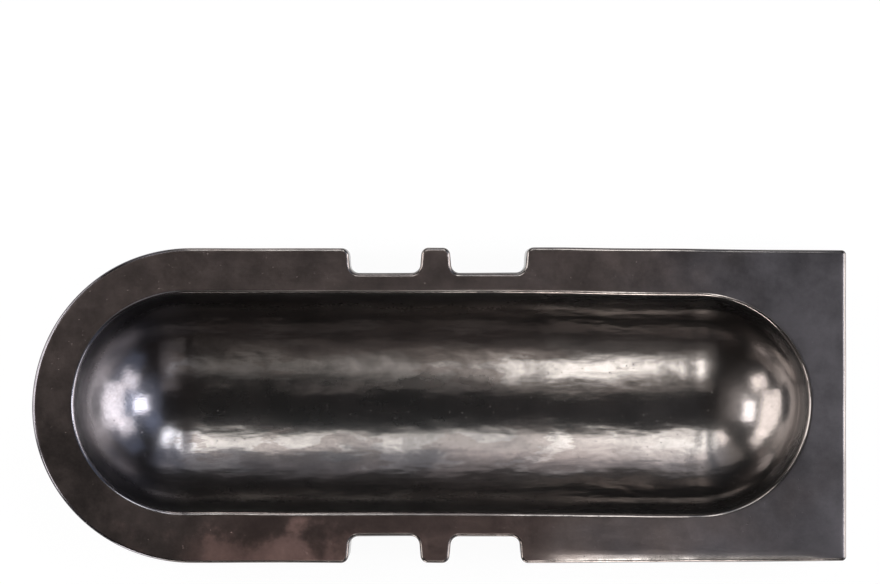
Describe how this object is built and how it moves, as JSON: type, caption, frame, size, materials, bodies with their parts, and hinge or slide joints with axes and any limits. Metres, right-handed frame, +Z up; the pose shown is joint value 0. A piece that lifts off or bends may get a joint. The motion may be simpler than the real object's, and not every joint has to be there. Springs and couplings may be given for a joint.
{
  "type": "ikebana suiban",
  "caption": "Long low stoneware vessel for water and cut branches: a flat notched rim, round at one end and square at the other, around a trough-shaped basin.",
  "frame": {"origin": "centre of the outline in plan, on the plane that the feet stand on", "axes": "+X from the round end to the square end, +Y to the rear long side, +Z up"},
  "size_m": [0.56, 0.217, 0.085],
  "materials": {
    "dark_glaze": "glossy metallic gunmetal glaze, satin on the rim",
    "bare_clay": "matte unglazed dark stoneware"
  },
  "bodies": {
    "root": {"rim_slab": "dark_glaze", "basin": "dark_glaze", "round_end_wall": "dark_glaze", "square_end_wall": "dark_glaze", "rear_left_wall": "dark_glaze", "rear_right_wall": "dark_glaze", "front_left_wall": "dark_glaze", "front_right_wall": "dark_glaze", "rear_left_cheek": "dark_glaze", "rear_right_cheek": "dark_glaze", "front_left_cheek": "dark_glaze", "front_right_cheek": "dark_glaze", "rear_recess_wall": "dark_glaze", "front_recess_wall": "dark_glaze", "rear_tab": "dark_glaze", "front_tab": "dark_glaze", "base_slab": "bare_clay", "round_rear_foot": "bare_clay", "round_front_foot": "bare_clay", "square_rear_foot": "bare_clay", "square_front_foot": "bare_clay"}
  },
  "joints": []
}
